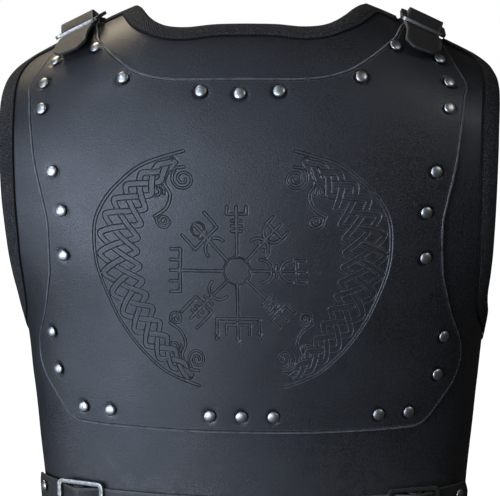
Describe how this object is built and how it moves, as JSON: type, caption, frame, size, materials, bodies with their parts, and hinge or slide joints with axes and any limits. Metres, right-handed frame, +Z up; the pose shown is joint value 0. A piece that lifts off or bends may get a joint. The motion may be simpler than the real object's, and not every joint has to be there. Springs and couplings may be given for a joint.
{
  "type": "leather breastplate",
  "caption": "Formed leather torso plate with a riveted chest overlay, tape-bound neck and armholes, buckled shoulder straps and a buckled waist belt.",
  "frame": {"origin": "the point between the wearer's shoulders, at the height of the shoulder line, from which the worn plate hangs", "axes": "+Z up, -Y out of the chest, +X to the right as the front is looked at"},
  "size_m": [0.4296, 0.2238, 0.4921],
  "materials": {
    "black_leather": "semi-gloss, fine grain",
    "strap_leather": "satin",
    "woven_tape": "matte twill",
    "nickel_rivets": "polished nickel",
    "buckle_steel": "worn, dark"
  },
  "bodies": {
    "root": {"armhole_binding_left": "woven_tape", "armhole_binding_right": "woven_tape", "body_panel": "black_leather", "chest_panel": "black_leather", "chest_rivet_01_left": "nickel_rivets", "chest_rivet_01_right": "nickel_rivets", "chest_rivet_02_left": "nickel_rivets", "chest_rivet_02_right": "nickel_rivets", "chest_rivet_03_left": "nickel_rivets", "chest_rivet_03_right": "nickel_rivets", "chest_rivet_04_left": "nickel_rivets", "chest_rivet_04_right": "nickel_rivets", "chest_rivet_05_left": "nickel_rivets", "chest_rivet_05_right": "nickel_rivets", "chest_rivet_06_left": "nickel_rivets", "chest_rivet_06_right": "nickel_rivets", "chest_rivet_07_left": "nickel_rivets", "chest_rivet_07_right": "nickel_rivets", "chest_rivet_08_left": "nickel_rivets", "chest_rivet_08_right": "nickel_rivets", "chest_rivet_09_left": "nickel_rivets", "chest_rivet_09_right": "nickel_rivets", "chest_rivet_10_left": "nickel_rivets", "chest_rivet_10_right": "nickel_rivets", "chest_rivet_11_left": "nickel_rivets", "chest_rivet_11_right": "nickel_rivets", "chest_rivet_12_left": "nickel_rivets", "chest_rivet_12_right": "nickel_rivets", "chest_rivet_13_left": "nickel_rivets", "chest_rivet_13_right": "nickel_rivets", "chest_rivet_14": "nickel_rivets", "chest_rivet_15_left": "nickel_rivets", "chest_rivet_15_right": "nickel_rivets", "chest_rivet_16": "nickel_rivets", "neck_binding": "woven_tape", "shoulder_buckle_left": "buckle_steel", "shoulder_buckle_right": "buckle_steel", "shoulder_prong_left": "buckle_steel", "shoulder_prong_right": "buckle_steel", "shoulder_strap_left": "strap_leather", "shoulder_strap_right": "strap_leather", "waist_buckle_left": "buckle_steel", "waist_buckle_right": "buckle_steel", "waist_prong_left": "buckle_steel", "waist_prong_right": "buckle_steel", "waist_rivet_lower_left": "nickel_rivets", "waist_rivet_lower_right": "nickel_rivets", "waist_rivet_upper_left": "nickel_rivets", "waist_rivet_upper_right": "nickel_rivets", "waist_strap": "strap_leather", "waist_tab_left": "strap_leather", "waist_tab_right": "strap_leather"}
  },
  "joints": []
}
